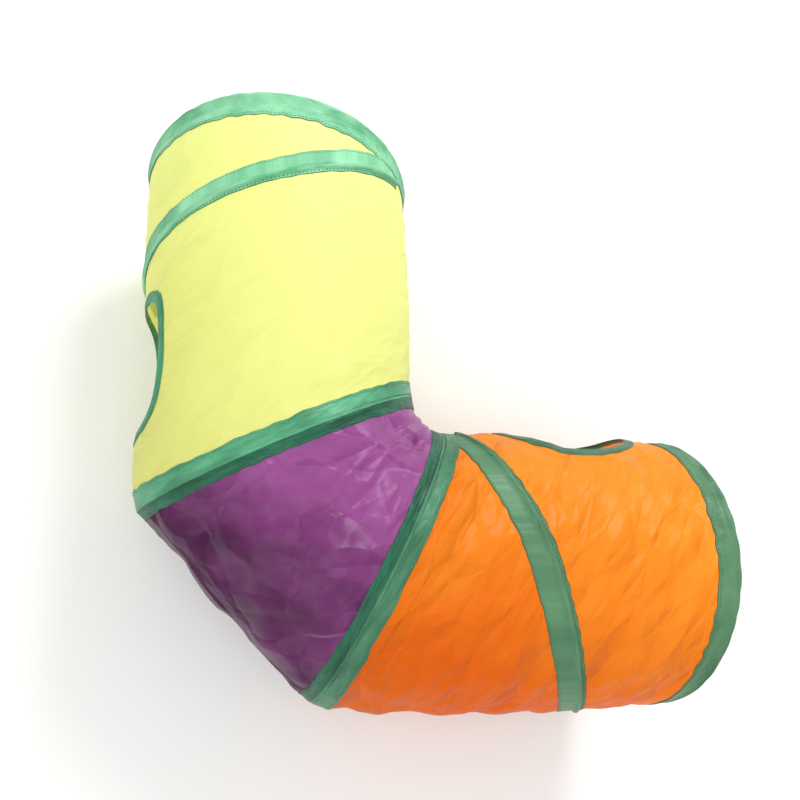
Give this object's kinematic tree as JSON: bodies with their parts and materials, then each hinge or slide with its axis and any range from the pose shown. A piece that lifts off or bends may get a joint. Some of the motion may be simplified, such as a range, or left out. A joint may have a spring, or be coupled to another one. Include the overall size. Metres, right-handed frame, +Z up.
{
  "type": "pet play tunnel",
  "caption": "Collapsible L-shaped fabric play tunnel with two tubes, a folding elbow and spring-wire hoops in binding tape.",
  "frame": {"origin": "middle of the tunnel's plan box, on the floor that it lies on", "axes": "+Z up from the floor; +X out of the orange tube's mouth; +Y out of the yellow tube's mouth"},
  "size_m": [0.5236, 0.5406, 0.2479],
  "materials": {
    "yellow_fabric": "thin woven polyester, slight sheen",
    "purple_fabric": "thin woven polyester, satin, creased",
    "orange_fabric": "thin woven polyester, slight sheen, creased",
    "green_tape": "thin woven binding tape, sewn, puckered",
    "spring_steel": "oil-tempered spring wire",
    "ferrule_steel": "zinc-plated crimp sleeve"
  },
  "bodies": {
    "orange_elbow": {"orange_elbow_casing": "green_tape", "orange_elbow_hoop": "spring_steel", "orange_elbow_ferrule": "ferrule_steel", "purple_panel": "purple_fabric", "orange_panel": "orange_fabric", "orange_spiral_casing": "green_tape", "orange_spiral_wire": "spring_steel", "orange_hole_binding": "green_tape"},
    "yellow_elbow": {"yellow_elbow_casing": "green_tape", "yellow_elbow_hoop": "spring_steel", "yellow_elbow_ferrule": "ferrule_steel", "yellow_panel": "yellow_fabric", "yellow_spiral_casing": "green_tape", "yellow_spiral_wire": "spring_steel", "yellow_hole_binding": "green_tape"},
    "yellow_end": {"yellow_end_casing": "green_tape", "yellow_end_hoop": "spring_steel", "yellow_end_ferrule": "ferrule_steel"},
    "orange_end": {"orange_end_casing": "green_tape", "orange_end_hoop": "spring_steel", "orange_end_ferrule": "ferrule_steel"}
  },
  "joints": [
    {"name": "elbow_fold", "type": "hinge", "parent": "orange_elbow", "child": "yellow_elbow", "pos_m": [0.0353, 0.0242, 0.1238], "axis": [0, 0, 1], "range_deg": [0, 40], "deforming": ["purple_panel", "yellow_elbow_casing", "orange_elbow_casing"]},
    {"name": "yellow_collapse", "type": "hinge", "parent": "yellow_elbow", "child": "yellow_end", "pos_m": [0.13385, 0.0823, -0.106], "axis": [0.6355, 0.0283, 0.7716], "range_deg": [0, 38.4], "stiffness_Nm_per_rad": 3, "springref_deg": -14.32, "deforming": ["yellow_panel", "yellow_spiral_casing", "yellow_spiral_wire", "yellow_hole_binding", "yellow_end_casing"]},
    {"name": "orange_collapse", "type": "hinge", "parent": "orange_elbow", "child": "orange_end", "pos_m": [0.09285, 0.2518, -0.1325], "axis": [-0.0167, -0.5383, -0.8426], "range_deg": [0, 30.6], "stiffness_Nm_per_rad": 3, "springref_deg": -14.32, "deforming": ["orange_panel", "orange_spiral_casing", "orange_spiral_wire", "orange_hole_binding", "orange_end_casing"]}
  ]
}
